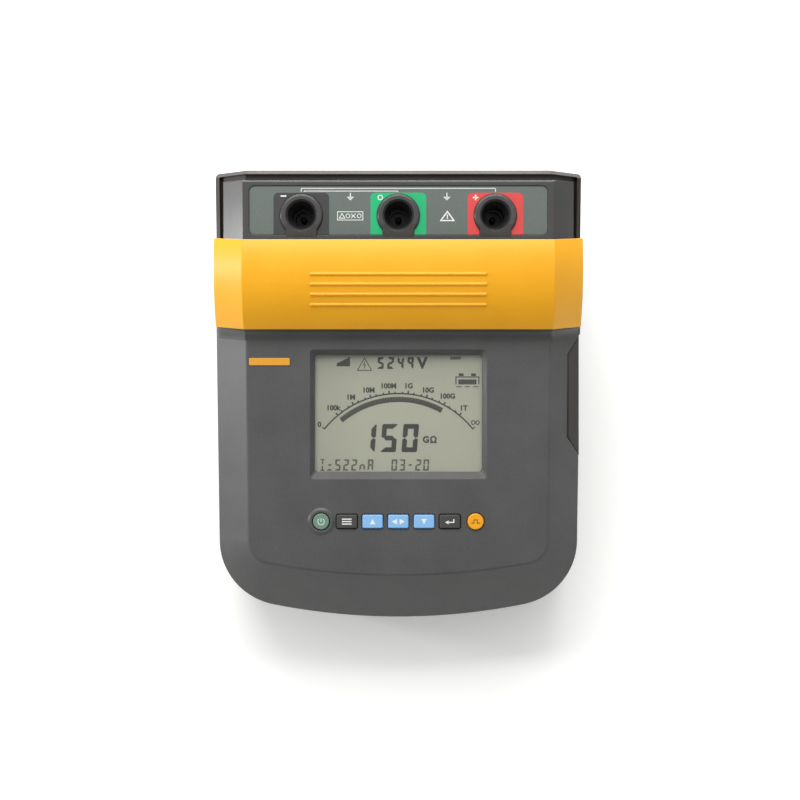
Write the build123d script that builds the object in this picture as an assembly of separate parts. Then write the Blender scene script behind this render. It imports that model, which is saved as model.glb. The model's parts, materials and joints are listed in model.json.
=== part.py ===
from build123d import *
import math
import os

# Insulation resistance tester: a wedge-shaped bench and field instrument.
#
# Every sub-part is drawn in the panel frame and laid down at the end:
#   X runs across the case, Y runs up the sloping front panel towards the terminals,
#   Z stands out of the panel, and Z = 0 is the panel's face.
# stand_up() tilts the panel frame by TILT, so that the case stands on its feet at Z = 0
# of the finished part, with the middle of its footprint at the origin.
# What stands on the base plate, such as the battery, is drawn level, in the standing frame:
# that is the finished part's frame before its footprint is centred.

# ---- overall, millimetres and degrees
TILT = 18.0                     # slope of the front panel
PANEL_RISE = 119.0              # panel datum above the table
HALF = 120.0                    # half width of the case at the nose corners
FLARE = 3.7                     # the case is this much wider each side at its back
BACK = 153.2                    # back wall, measured up the panel from its datum
NOSE = -146.5                   # foremost point of the bowed front
WALL = 3.0                      # moulded wall
FIT = 0.15                      # gap between stacked mouldings
FOOT_STAND_OFF = 3.0            # base plate above the table
BASE_INSIDE = FOOT_STAND_OFF + WALL
DRAFT = 2.0                     # how far the walls draw in from waist to foot

# ---- front panel and its border facets
FACE_HALF = 98.8                # half width of the flat face at the nose corners
FACE_FLARE = 4.0                # and how much wider it is far up the panel
FACE_FRONT = -115.6             # foremost point of the flat face
FACE_BOW = 480.0
FACE_CORNER = 15.0
FACET_RUN = 1.28                # sideways run of a facet for each millimetre that it falls
NOSE_BOW = 425.0
NOSE_CORNER = 45.0
FACET_SOFTNESS = 3.0
FACE_LINE = 101.2               # half width of the level part of the grip and of the deck
COVE_RADIUS = 6.4

# ---- parting surface between the two half shells
PART_LEVEL = -20.0
PART_TILT = 2.9
SEAM = 0.8                      # gap that the gasket fills

# ---- grip, an arched band across the case
GRIP_FRONT = (46.3, 9.0)        # front edge of the arch: along the panel, above it
GRIP_REAR = (104.0, 20.0)
GRIP_RISE = 7.0                 # how far the arch stands above its own chord
GRIP_HALF = 121.3
GRIP_SKIN = 3.0
GRIP_END_SKEW = 0.12            # the ends step back a little as they fall
CORE_SKIN = 3.1
SKIRT_FOOT = -12.4              # lowest edge of the grip, outside the case's shoulder
SKIRT_INSIDE = 117.6
SEAT_HALF = 116.5
SEAT_FLOOR = -9.0
GRIP_POST_RADIUS = 4.0
GRIP_POST_FOOT = -6.0
GRIP_RIBS = (61.9, 68.4, 74.9, 81.4)
RIB_HALF = 56.5
RIB_RADIUS = 1.1
WELL_HALF = 72.0                # hand well below the grip
WELL_FRONT = 56.0
WELL_FLOOR = -26.0

# ---- terminal end
DECK = -6.0                     # face of the terminal housing
RIM_DROP = 7.0                  # rim of the lower shell, below the panel's face
RIM_CHAMFER = 3.3
HOUSING_HALF = 117.6
HOUSING_FRONT = 101.5
HOUSING_BACK = 146.4
HOUSING_FLOOR = -29.0
TERMINAL_PITCH = 64.5
TERMINAL_Y = 122.8
HOUSING_SPREAD = 1.7            # its level part is this much wider than the panel's, each side
LIP_DROP = 10.0                 # lip of the lower shell, which closes the gap round the housing
BOSS_RADIUS = 14.2
BOSS_RISE = 1.6
NECK_HALF = 10.3
MOUTH_RADIUS = 10.4
SOCKET_RADIUS = 6.4             # bore that the plug's shroud slides into
SOCKET_STEP = -32.5             # the bore narrows here, where the contact pin begins
SOCKET_NARROW = 5.6
SOCKET_FLOOR = -42.0
SLEEVE_FOOT = -48.0
FUNNEL_DEPTH = 9.0
PIN_RADIUS = 2.0
PIN_TIP = -33.0
PIN_FOOT = -54.0
NUT_FLATS = 14.5
LABEL_HALF = 99.0
LABEL_FRONT = 110.0
LABEL_BACK = 142.2
LABEL_SKIN = 0.8
LABEL_RECESS = 1.4              # depth of the field that the label lies in
TAG_WIDTH = 37.0
TAG_DEPTH = 27.8
LABEL_FLOOR = DECK - LABEL_RECESS + 0.05
TERMINALS = {"negative": -TERMINAL_PITCH, "guard": 0.0, "positive": TERMINAL_PITCH}

# ---- display
DISPLAY_Y = -9.4
DISPLAY_OUTER = (116.7, 85.5)   # edge of the sloping surround, in the panel's face
DISPLAY_INNER = (110.8, 77.6)   # edge of the surround, on the window
DISPLAY_SHIFT = 0.6             # the window's centre lies this much higher
DISPLAY_DEPTH = 4.2

# ---- keys
KEY_Y = -80.2
KEY_PITCH = 17.0
KEY_SIZE = (13.4, 8.8)
ROUND_KEY_RADIUS = 5.3
KEY_STAND = 1.4                 # key top above the panel
KEY_SEAT = -4.7                 # underside of a key's flange
KEY_GAP = 0.7
KEY_FLANGE = 1.3
KEYS = ["power", "function", "up", "left_right", "down", "enter", "test"]
ROUND_KEYS = ("power", "test")
KEYPAD_TOP = -12.0
SWITCH_TOP = -7.8

# ---- side bay with the mains inlet, on the right
BAY_X = 113.0
BAY_LOW, BAY_HIGH = -25.0, 31.0
BAY_END = 10.5                  # how far each slanted end of the bay runs along the side
BAY_FLOOR = -84.0
SIDE_FACE = 121.4
SIDE_KNEE = -19.0
INLET_Y, INLET_Z = -8.0, -56.0
INLET_BODY = (28.0, 21.0)
INLET_CAVE = (24.4, 16.8)
INLET_PINS = [(INLET_Y - 7, INLET_Z - 2), (INLET_Y, INLET_Z + 2), (INLET_Y + 7, INLET_Z - 2)]
EYE_Y, EYE_Z = 20.0, -44.0

# ---- boards, in the panel frame
BOARD = 1.6
MAIN_BOARD_TOP = -16.0
MAIN_BOARD = (182.0, 112.0)
MAIN_BOARD_Y = -34.0
HV_BOARD_TOP = -58.0

# ---- battery and charger, in the standing frame
BATTERY = (134.0, 66.0, 60.0)
BATTERY_Y = 134.0
STRAP_WIDTH = 22.0
STRAP_SEAT = 12.0               # top of the posts that hold the strap down
STRAP_SKIN = 1.5
CHARGER_BOARD = (120.0, 62.0)
CHARGER_Y = 38.0
CHARGER_HEIGHT = 12.0
CHARGER_CORE = (48.0, 32.0, 40.0)
FOOT_RADIUS = 9.0
FOOT_TOP = 4.6
FOOT_PLACES = [(-85, -84), (85, -84), (-85, 172), (85, 172)]

# ---- screws and the posts that they join
CASE_POSTS = [(x, y) for x in (-104, 104) for y in (-72, 80)]
HOUSING_POSTS = [(-104, 125), (104, 125)]
BOARD_POSTS = [(x, y) for x in (-84, 84) for y in (-84, 14)]
KEYPAD_POSTS = [(x, KEY_Y) for x in (-63, 63)]
GRIP_POSTS = [(x, y) for x in (-90, 90) for y in (64, 90)]
HV_POSTS = [(x, y) for x in (-84, 84) for y in (111, 138)]
CHARGER_POSTS = [(x, CHARGER_Y + y) for x in (-55, 55) for y in (-26, 26)]
STRAP_POSTS = [(0, BATTERY_Y - BATTERY[1] / 2 - 9), (0, BATTERY_Y + BATTERY[1] / 2 + 9)]
POST_RADIUS = 6.2
ACCESS_RADIUS = 4.4
SCREW_SEAT = 9.0
CASE_SCREW_RADIUS = 1.9
SMALL_SCREW_RADIUS = 1.4


# ---- small helpers
def box(low, high):
    """Block between two opposite corners."""
    size = [b - a for a, b in zip(low, high)]
    middle = [(a + b) / 2 for a, b in zip(low, high)]
    return Pos(*middle) * Box(*size)


def tube(x, y, z_low, z_high, radius, hole=0.0):
    """Round bar, or tube, standing along Z."""
    middle = Pos(x, y, (z_low + z_high) / 2)
    bar = middle * Cylinder(radius, z_high - z_low)
    if hole:
        bar -= middle * Cylinder(hole, z_high - z_low + 2)
    return bar


def stand_up(shape):
    """From the panel frame into the standing frame."""
    return Pos(0, 0, PANEL_RISE) * Rot(TILT, 0, 0) * shape


def into_panel(shape):
    """From the standing frame into the panel frame."""
    return Rot(-TILT, 0, 0) * Pos(0, 0, -PANEL_RISE) * shape


def above_table(height):
    """Everything higher than this above the table, in the panel frame."""
    return into_panel(box((-300, -400, height), (300, 400, height + 500)))


def base_z(y, height):
    """Where a line along Z at this y meets the given height above the table."""
    tilt = math.radians(TILT)
    return (height - PANEL_RISE - y * math.sin(tilt)) / math.cos(tilt)


def parting_z(y):
    return PART_LEVEL + y * math.tan(math.radians(PART_TILT))


def above_parting(offset=0.0):
    block = box((-300, -400, 0), (300, 400, 200))
    return Pos(0, 0, PART_LEVEL + offset) * Rot(PART_TILT, 0, 0) * block


def front_part(shape, y):
    return shape & box((-300, -400, -400), (300, y, 200))


def driven_screw(x, y, seat, shaft, radius):
    """Pan-head screw driven upwards along Z, with a cross recess in its head."""
    head_radius, head_height = 2.0 * radius, 1.4 * radius
    head = tube(x, y, seat - head_height, seat, head_radius)
    cross = Box(head_radius, 0.8, head_height) + Box(0.8, head_radius, head_height)
    return head + tube(x, y, seat, seat + shaft, radius) - Pos(x, y, seat - head_height) * cross


# ---- outlines of the case
def plan_face(half_width, front, bow, corner, back, flare, grow=0.0):
    """Plan outline, larger all round by grow: flared sides, bowed front, round corners."""
    bow_y = front + bow
    corner_x = half_width - corner
    corner_y = bow_y - math.sqrt((bow - corner) ** 2 - corner_x ** 2)
    reach = (bow + grow) / (bow - corner)
    meet_x, meet_y = corner_x * reach, bow_y + (corner_y - bow_y) * reach
    middle = math.atan2(corner_y - bow_y, corner_x) / 2
    mid_x = corner_x + (corner + grow) * math.cos(middle)
    mid_y = corner_y + (corner + grow) * math.sin(middle)
    side = half_width + grow
    edges = [
        Line((-side - flare, back), (side + flare, back)),
        Line((side + flare, back), (side, corner_y)),
        ThreePointArc((side, corner_y), (mid_x, mid_y), (meet_x, meet_y)),
        ThreePointArc((meet_x, meet_y), (0, front - grow), (-meet_x, meet_y)),
        ThreePointArc((-meet_x, meet_y), (-mid_x, mid_y), (-side, corner_y)),
        Line((-side, corner_y), (-side - flare, back)),
    ]
    return make_face(edges)


def case_plan(grow=0.0):
    return plan_face(HALF, NOSE, NOSE_BOW, NOSE_CORNER, BACK + grow, FLARE, grow)


def face_plan(grow=0.0):
    return plan_face(FACE_HALF, FACE_FRONT, FACE_BOW, FACE_CORNER, 220, FACE_FLARE, grow)


def case_prism(grow=0.0):
    """The case's walls: upright near the panel, drawn in a little towards the base."""
    waist, foot = PART_LEVEL - 12, -190
    upper = Pos(0, 0, waist) * extrude(case_plan(grow), 60)
    lower = loft([Pos(0, 0, foot) * case_plan(grow - DRAFT), Pos(0, 0, waist) * case_plan(grow)])
    return upper + lower


def facet_cap(drop=0.0, grow=0.0, soften=0.0):
    """Everything below the flat face and its border facets."""
    fall = 45.0
    wide = face_plan(grow + FACET_RUN * fall)
    cap = loft([Pos(0, 0, -drop - fall) * wide, Pos(0, 0, -drop) * face_plan(grow)])
    if soften:
        cap = fillet(cap.faces().sort_by(Axis.Z)[-1].edges(), soften)
    return cap + Pos(0, 0, -drop - fall - 200) * extrude(wide, 200)


def cavity():
    """Room inside the case."""
    room = case_prism(-WALL) & facet_cap(WALL, -0.8)
    return room & above_table(BASE_INSIDE)


def bay_prism(gap=0.0):
    """Plan of the side bay, run through the height of the case."""
    out = HALF + 20
    spread = (out - BAY_X) / (HALF - BAY_X) * BAY_END
    points = [
        (BAY_X + gap, BAY_LOW + gap),
        (BAY_X + gap, BAY_HIGH - gap),
        (out, BAY_HIGH + spread - gap),
        (out, BAY_LOW - spread + gap),
    ]
    return Pos(0, 0, BAY_FLOOR + gap) * extrude(make_face(Polyline(*points, close=True)), 160)


# ---- grip band: an arch, and two ends that fall with the side facets
def arch_circle():
    """Centre and radius of the arch, from its two edges and its rise."""
    run = GRIP_REAR[0] - GRIP_FRONT[0]
    climb = GRIP_REAR[1] - GRIP_FRONT[1]
    chord = math.hypot(run, climb)
    radius = (chord ** 2 / 4 + GRIP_RISE ** 2) / (2 * GRIP_RISE)
    down = radius - GRIP_RISE
    mid_y = (GRIP_FRONT[0] + GRIP_REAR[0]) / 2
    mid_z = (GRIP_FRONT[1] + GRIP_REAR[1]) / 2
    return mid_y + down * climb / chord, mid_z - down * run / chord, radius


ARCH_Y, ARCH_Z, ARCH_RADIUS = arch_circle()


def arch_disc(inset):
    return Plane.YZ * Pos(ARCH_Y, ARCH_Z) * Circle(ARCH_RADIUS - inset)


def slice_of(front, rear, low, high):
    return Plane.YZ * Pos((front + rear) / 2, (low + high) / 2) * Rectangle(rear - front, high - low)


def arched_layer(top_inset, skin, front, rear):
    """Section of one layer of the band."""
    ring = arch_disc(top_inset) - arch_disc(top_inset + skin)
    return ring & slice_of(front, rear, -10, 60)


def arched_block(top_inset, front, rear, floor):
    """Section that is solid from the arch down to a level floor."""
    return arch_disc(top_inset) & slice_of(front, rear, floor, 60)


def across(section, half_width):
    """Run a section across the case: level in the middle, falling with the facets at the ends."""
    band = extrude(section, FACE_LINE, both=True)
    reach = half_width - FACE_LINE
    for side in (-1, 1):
        way = Vector(side * reach, GRIP_END_SKEW * reach, -reach / FACET_RUN)
        start = Pos(side * FACE_LINE, 0, 0) * section
        band += extrude(start, way.length, dir=way.normalized())
    return band


def cove():
    """Concave run from the flat face up to the seat of the grip."""
    rear = GRIP_FRONT[0] - 0.2
    front = rear - COVE_RADIUS
    section = slice_of(front, rear, -4, COVE_RADIUS)
    section -= Plane.YZ * Pos(front, COVE_RADIUS) * Circle(COVE_RADIUS)
    return across(section, HALF)


# ---- shells
def upper_shell():
    body = case_prism() & facet_cap(0, 0, FACET_SOFTNESS) & above_parting(SEAM / 2)
    rear = HOUSING_FRONT - FIT
    body = front_part(body, rear) - cavity()
    seat_inset = GRIP_SKIN + CORE_SKIN + 2 * FIT
    seat = across(arched_block(seat_inset, GRIP_FRONT[0] - 0.3, rear, SEAT_FLOOR), SEAT_HALF)
    body += (seat + cove()) & above_parting(SEAM / 2)
    body = front_part(body, rear)
    walls = (WELL_HALF + WALL, WELL_FRONT - WALL, WELL_FLOOR - WALL)
    body += box((-walls[0], walls[1], walls[2]), (walls[0], rear, 0))
    body -= box((-WELL_HALF, WELL_FRONT, WELL_FLOOR), (WELL_HALF, rear + 5, 60))
    body = cut_display_opening(body)
    body = cut_key_openings(body)
    for x, y in CASE_POSTS:
        body += tube(x, y, -40, -2, 4.5) & above_parting(SEAM / 2) & facet_cap()
        body -= tube(x, y, -60, -8, CASE_SCREW_RADIUS)
    for x, y in BOARD_POSTS:
        body += tube(x, y, MAIN_BOARD_TOP, -2, 3.5)
        body -= tube(x, y, MAIN_BOARD_TOP - 1, -5, SMALL_SCREW_RADIUS)
    for x, y in KEYPAD_POSTS:
        body += tube(x, y, KEYPAD_TOP, -2, 3.0)
        body -= tube(x, y, KEYPAD_TOP - 1, -5, SMALL_SCREW_RADIUS)
    for x, y in GRIP_POSTS:
        body -= tube(x, y, -20, 60, GRIP_POST_RADIUS + FIT)
    return body - bay_prism()


def cut_display_opening(body):
    """Sloping surround of the display, with a thicker pad behind it."""
    pad_depth = DISPLAY_DEPTH - 1.0
    pad = Box(DISPLAY_OUTER[0] + 8, DISPLAY_OUTER[1] + 6, pad_depth)
    body += Pos(0, DISPLAY_Y, -1.0 - pad_depth / 2) * pad
    outer = Pos(0, DISPLAY_Y, 0.001) * RectangleRounded(*DISPLAY_OUTER, 2.0)
    level = -DISPLAY_DEPTH - 0.001
    inner = Pos(0, DISPLAY_Y + DISPLAY_SHIFT, level) * RectangleRounded(*DISPLAY_INNER, 2.5)
    return body - loft([inner, outer])


def cut_key_openings(body):
    """An opening for each key, and a raised ring round the power key."""
    ring = Cone(9.0, 7.6, 1.0, align=(Align.CENTER, Align.CENTER, Align.MIN))
    body += Pos(key_x(0), KEY_Y, 0) * ring
    for index, name in enumerate(KEYS):
        body -= Pos(key_x(index), KEY_Y, -6) * extrude(key_section(name, KEY_GAP), 12)
    return body


def lower_shell():
    walls = case_prism()
    front = front_part(walls - above_parting(-SEAM / 2), HOUSING_FRONT)
    rear = walls & facet_cap(RIM_DROP) & box((-300, HOUSING_FRONT, -400), (300, 300, 200))
    body = (front + rear) & above_table(FOOT_STAND_OFF)
    body = chamfer(back_edges(body), RIM_CHAMFER)
    body = fillet(back_corners(body), 2.4)
    body = round_base(body, 1.5) - cavity()
    pocket = HOUSING_HALF + FIT
    opening = box((-pocket, HOUSING_FRONT - 0.1, -60), (pocket, HOUSING_BACK + FIT, 60))
    body -= opening
    body += shelf() & case_prism(-1)
    body += lip()
    floor = above_table(FOOT_STAND_OFF)
    for x, y in CASE_POSTS + HOUSING_POSTS:
        top = parting_z(y) - SEAM / 2 if y < HOUSING_FRONT else HOUSING_FLOOR - FIT
        body += tube(x, y, base_z(y, 0), top, POST_RADIUS) & floor
        body -= tube(x, y, -300, top - SCREW_SEAT, ACCESS_RADIUS)
        body -= tube(x, y, -300, top + 1, CASE_SCREW_RADIUS + 0.3)
    for x, y in FOOT_PLACES:
        body -= into_panel(tube(x, y, 0, FOOT_TOP + 0.2, FOOT_RADIUS + 0.2))
    for x, y in CHARGER_POSTS + STRAP_POSTS:
        top = CHARGER_HEIGHT if (x, y) in CHARGER_POSTS else STRAP_SEAT
        body += into_panel(tube(x, y, BASE_INSIDE - 0.5, top, 4.0))
        body -= into_panel(tube(x, y, BASE_INSIDE - 1, top + 1, SMALL_SCREW_RADIUS))
    return body - bay_prism() - back_recess()


def shelf():
    """Ledge inside the rim that the terminal housing rests on."""
    top = HOUSING_FLOOR - FIT
    outer = box((-HOUSING_HALF - 4, HOUSING_FRONT, top - 3), (HOUSING_HALF + 4, BACK - 1.5, top))
    inner = (HOUSING_HALF - 3, HOUSING_BACK - 3)
    return outer - box((-inner[0], HOUSING_FRONT - 1, top - 4), (inner[0], inner[1], 0))


def lip():
    """Inner lip below the rim, which closes the gap round the terminal housing."""
    band = facet_cap(LIP_DROP) - facet_cap(LIP_DROP + WALL)
    band &= case_prism(-1) & box((-200, HOUSING_FRONT, -100), (200, 200, 0))
    half, back = HOUSING_HALF + FIT, HOUSING_BACK + FIT
    return band - box((-half, HOUSING_FRONT - 1, -100), (half, back, 0))


def back_edges(body):
    """Edges round the top of the back wall, level and falling."""
    wide = body.edges().filter_by(lambda e: abs((e @ 0).X - (e @ 1).X) > 5)
    return wide.filter_by(lambda e: min((e @ 0).Y, (e @ 1).Y) > BACK - 0.1 and (e @ 0.5).Z > -40)


def back_corners(body):
    """Upright edges where the back wall meets the sides."""
    upright = body.edges().filter_by(lambda e: abs((e @ 0).Z - (e @ 1).Z) > 9)
    return upright.filter_by(lambda e: min((e @ 0).Y, (e @ 1).Y) > BACK - 3.5 and abs((e @ 0.5).X) > HALF - 3)


def round_base(body, radius):
    stood = stand_up(body)
    bottom = stood.faces().sort_by(Axis.Z)[0]
    return into_panel(chamfer(bottom.edges(), radius))


def back_recess():
    """Shallow blank field moulded into the back wall."""
    plate = Pos(0, BACK, -92) * Rot(90, 0, 0) * extrude(RectangleRounded(170, 70, 6), 6, both=True)
    return plate & box((-200, BACK - 1.8, -200), (200, BACK + 10, 0))


def case_gasket():
    ring = case_prism(-0.5) - case_prism(-WALL + 0.2)
    ring = front_part(ring, HOUSING_FRONT - 2)
    return (ring & above_parting(-SEAM / 2)) - above_parting(SEAM / 2) - bay_prism(-0.4)


def grip():
    skin = across(arched_layer(0, GRIP_SKIN, GRIP_FRONT[0], GRIP_REAR[0]), GRIP_HALF)
    step = GRIP_END_SKEW * (GRIP_HALF - FACE_LINE)
    drop = (GRIP_HALF - FACE_LINE) / FACET_RUN
    ends = slice_of(GRIP_FRONT[0] + step, GRIP_REAR[0] + step, SKIRT_FOOT, 60)
    ends &= Plane.YZ * Pos(ARCH_Y + step, ARCH_Z - drop) * Circle(ARCH_RADIUS - 0.5)
    for side in (-1, 1):
        start = Pos(side * SKIRT_INSIDE, 0, 0) * ends
        skin += extrude(start, GRIP_HALF - SKIRT_INSIDE, dir=(side, 0, 0))
    for y in GRIP_RIBS:
        skin += rib(y)
    inside = across(arched_block(GRIP_SKIN - 1.0, GRIP_FRONT[0], GRIP_REAR[0], -60), GRIP_HALF)
    for x, y in GRIP_POSTS:
        skin += tube(x, y, GRIP_POST_FOOT, 60, GRIP_POST_RADIUS) & inside
        skin -= tube(x, y, GRIP_POST_FOOT - 1, 12, SMALL_SCREW_RADIUS)
    return skin


def rib(y):
    """One raised bar on the grip, half round, with round ends."""
    height = ARCH_Z + math.sqrt(ARCH_RADIUS ** 2 - (y - ARCH_Y) ** 2) - 0.3
    bar = Pos(0, y, height) * Rot(0, 90, 0) * Cylinder(RIB_RADIUS, 2 * RIB_HALF)
    for side in (-1, 1):
        bar += Pos(side * RIB_HALF, y, height) * Sphere(RIB_RADIUS)
    return bar


def grip_core():
    section = arched_layer(GRIP_SKIN + FIT, CORE_SKIN, GRIP_FRONT[0] + 0.5, GRIP_REAR[0] - 5.0)
    core = across(section, SEAT_HALF)
    for x, y in GRIP_POSTS:
        core -= tube(x, y, -20, 60, GRIP_POST_RADIUS + FIT)
    return core


# ---- terminal end
def terminal_housing():
    deck = box((-HOUSING_HALF, HOUSING_FRONT, HOUSING_FLOOR), (HOUSING_HALF, HOUSING_BACK, 10))
    deck &= facet_cap(-DECK, HOUSING_SPREAD)
    top = deck.edges().filter_by(lambda e: (e @ 0).Z > DECK - 0.1 and (e @ 1).Z > DECK - 0.1)
    deck = fillet(top, 1.5)
    inner = HOUSING_HALF - WALL
    room = box((-inner, HOUSING_FRONT + WALL, -60), (inner, HOUSING_BACK - WALL, DECK - WALL))
    deck -= room & facet_cap(WALL - DECK, HOUSING_SPREAD - 1.5)
    deck -= Pos(0, 0, DECK - LABEL_RECESS) * extrude(label_plan(0.3), 5)
    for x in TERMINALS.values():
        deck += boss(x)
    for x in TERMINALS.values():
        deck -= tube(x, TERMINAL_Y, -80, 10, MOUTH_RADIUS)
    for x, y in HOUSING_POSTS:
        deck += tube(x, y, HOUSING_FLOOR, DECK - 4, 4.5) & facet_cap(-DECK)
        deck -= tube(x, y, HOUSING_FLOOR - 1, DECK - 10, CASE_SCREW_RADIUS)
    for x, y in HV_POSTS:
        deck += tube(x, y, HV_BOARD_TOP, DECK - 2, 3.5)
        deck -= tube(x, y, HV_BOARD_TOP - 1, HV_BOARD_TOP + 10, SMALL_SCREW_RADIUS)
    return deck


def boss(x):
    """Round shroud of a socket, which slopes down in front and runs into the deck there."""
    top = DECK + BOSS_RISE
    shroud = tube(x, TERMINAL_Y, HOUSING_FLOOR, top, BOSS_RADIUS)
    shroud = fillet(shroud.edges().sort_by(Axis.Z)[-1], 1.6)
    front, middle, rear = TERMINAL_Y - BOSS_RADIUS - 0.2, TERMINAL_Y - 6, TERMINAL_Y + BOSS_RADIUS + 1
    outline = [(front, HOUSING_FLOOR), (front, DECK + 0.05), (middle, top), (rear, top),
               (rear, HOUSING_FLOOR)]
    wedge = extrude(Plane.YZ * make_face(Polyline(*outline, close=True)), BOSS_RADIUS + 1, both=True)
    room = box((-NECK_HALF, front, HOUSING_FLOOR), (NECK_HALF, middle, top))
    return (shroud & Pos(x, 0, 0) * wedge) + Pos(x, 0, 0) * (wedge & room)


def label_plan(grow=0.0):
    width = 2 * (LABEL_HALF + grow)
    height = LABEL_BACK - LABEL_FRONT + 2 * grow
    return Pos(0, (LABEL_FRONT + LABEL_BACK) / 2) * RectangleRounded(width, height, 3.5 + grow)


def socket_clearance(x, gap=0.3):
    """Room that the label leaves round a socket's shroud and neck."""
    half = NECK_HALF + gap
    neck = box((x - half, LABEL_FRONT - 20, -60), (x + half, TERMINAL_Y - 6, 20))
    return neck + tube(x, TERMINAL_Y, -60, 20, BOSS_RADIUS + gap)


def tag_block(x, low, high):
    front, back = LABEL_FRONT - 1, LABEL_FRONT + TAG_DEPTH
    block = box((x - TAG_WIDTH / 2, front, low), (x + TAG_WIDTH / 2, back, high))
    rear = block.edges().filter_by(Axis.Z).sort_by(Axis.Y)[-2:]
    return fillet(rear, 3.3)


def terminal_label():
    plate = Pos(0, 0, LABEL_FLOOR) * extrude(label_plan(), LABEL_SKIN)
    for x in TERMINALS.values():
        plate -= tag_block(x, DECK - 3, DECK + 3)
        plate -= socket_clearance(x)
    return plate


def tag(x):
    plate = tag_block(x, LABEL_FLOOR, LABEL_FLOOR + LABEL_SKIN + 0.1)
    plate &= box((x - 30, LABEL_FRONT, -20), (x + 30, 200, 20))
    return plate - socket_clearance(x)


def socket_sleeve(x):
    """Insulating tube with a funnel mouth, which the plug's shroud slides into."""
    mouth = DECK + BOSS_RISE - 2.0
    sleeve = tube(x, TERMINAL_Y, SLEEVE_FOOT, mouth, MOUTH_RADIUS - 0.05)
    funnel = Cone(SOCKET_RADIUS, MOUTH_RADIUS - 1.0, FUNNEL_DEPTH)
    sleeve -= Pos(x, TERMINAL_Y, mouth - FUNNEL_DEPTH / 2 + 0.001) * funnel
    sleeve -= tube(x, TERMINAL_Y, SOCKET_STEP, mouth, SOCKET_RADIUS)
    sleeve -= tube(x, TERMINAL_Y, SOCKET_FLOOR, mouth, SOCKET_NARROW)
    return sleeve - tube(x, TERMINAL_Y, -60, 0, PIN_RADIUS + 0.05)


def contact_pin(x):
    pin = tube(x, TERMINAL_Y, PIN_FOOT, PIN_TIP, PIN_RADIUS)
    pin = fillet(pin.edges().sort_by(Axis.Z)[-1], 1.2)
    return pin + tube(x, TERMINAL_Y, SLEEVE_FOOT - 2.5, SLEEVE_FOOT - 0.1, 5.0)


def socket_nut(x):
    top = HOUSING_FLOOR - 0.1
    ring = Pos(x, TERMINAL_Y, top - 5) * extrude(RegularPolygon(NUT_FLATS, 6), 5)
    return ring - tube(x, TERMINAL_Y, -60, 0, MOUTH_RADIUS)


def socket_lead(x):
    return tube(x, TERMINAL_Y, HV_BOARD_TOP, PIN_FOOT - 0.05, 1.6)


# ---- display and keys
def stack_plate(size, z_low, z_high, opening=None):
    """Plate of the display stack, or a ring when it has an opening."""
    middle = Pos(0, DISPLAY_Y, (z_low + z_high) / 2)
    plate = middle * Box(size[0], size[1], z_high - z_low)
    if opening:
        plate -= middle * Box(opening[0], opening[1], z_high - z_low + 2)
    return plate


def display_carrier():
    return stack_plate((123, 92), -14.6, -4.4) - stack_plate((119, 88.6), -12.8, -4)


def key_x(index):
    return (index - (len(KEYS) - 1) / 2) * KEY_PITCH


def key_section(name, grow=0.0):
    if name in ROUND_KEYS:
        return Circle(ROUND_KEY_RADIUS + grow)
    return RectangleRounded(KEY_SIZE[0] + 2 * grow, KEY_SIZE[1] + 2 * grow, 1.0 + grow)


def key(index, name):
    """Key top, a flange that stops it under the panel, and a stem above its switch."""
    cap = extrude(key_section(name), KEY_STAND - KEY_SEAT)
    cap = fillet(cap.faces().sort_by(Axis.Z)[-1].edges(), 0.7)
    cap += extrude(key_section(name, KEY_FLANGE), KEY_FLANGE)
    cap += Pos(0, 0, -1.5) * extrude(Circle(1.5), 1.6)
    return Pos(key_x(index), KEY_Y, KEY_SEAT) * cap


def keypad_board():
    board = Pos(0, KEY_Y, KEYPAD_TOP - BOARD / 2) * Box(136, 24, BOARD)
    for x, y in KEYPAD_POSTS:
        board -= tube(x, y, -30, 0, SMALL_SCREW_RADIUS + 0.2)
    return board


def key_switch(index):
    body = Pos(key_x(index), KEY_Y, KEYPAD_TOP + 1.6) * Box(6, 6, 3.2)
    return body + tube(key_x(index), KEY_Y, KEYPAD_TOP + 3, SWITCH_TOP, 1.7)


def name_badge():
    """Blank badge beside the display."""
    plate = Pos(-85.1, 25.3, 0.1) * extrude(RectangleRounded(26.8, 4.9, 0.6), 0.5)
    return fillet(plate.faces().sort_by(Axis.Z)[-1].edges(), 0.25)


# ---- side bay
def side_panel():
    top = -(BAY_X + 0.3 - FACE_HALF - 1.9) / FACET_RUN
    foot = BAY_FLOOR + 0.3
    outer = [(BAY_X + 0.3, top), (SIDE_FACE, SIDE_KNEE), (SIDE_FACE, foot)]
    back = SIDE_FACE - WALL
    inner = [(back, foot), (back, SIDE_KNEE - 1), (BAY_X + 0.3, top - 14)]
    section = Plane.XZ * make_face(Polyline(*outer, *inner, close=True))
    slab = extrude(section, 80, both=True) & bay_prism(0.3)
    half_y, half_z = INLET_BODY[0] / 2 + 0.2, INLET_BODY[1] / 2 + 0.2
    slab -= box((90, INLET_Y - half_y, INLET_Z - half_z), (130, INLET_Y + half_y, INLET_Z + half_z))
    return slab - box((90, EYE_Y - 6.2, EYE_Z - 4.2), (130, EYE_Y + 6.2, EYE_Z + 4.2))


def across_side(size, x_low, x_high, bevel=0.0, grow=0.0):
    """Block centred on the mains inlet, its two upper corners cut off."""
    half_y, half_z = size[0] / 2 + grow, size[1] / 2 + grow
    block = box((x_low, INLET_Y - half_y, INLET_Z - half_z), (x_high, INLET_Y + half_y, INLET_Z + half_z))
    if bevel:
        block = chamfer(block.edges().filter_by(Axis.X).sort_by(Axis.Z)[-2:], bevel)
    return block


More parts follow.
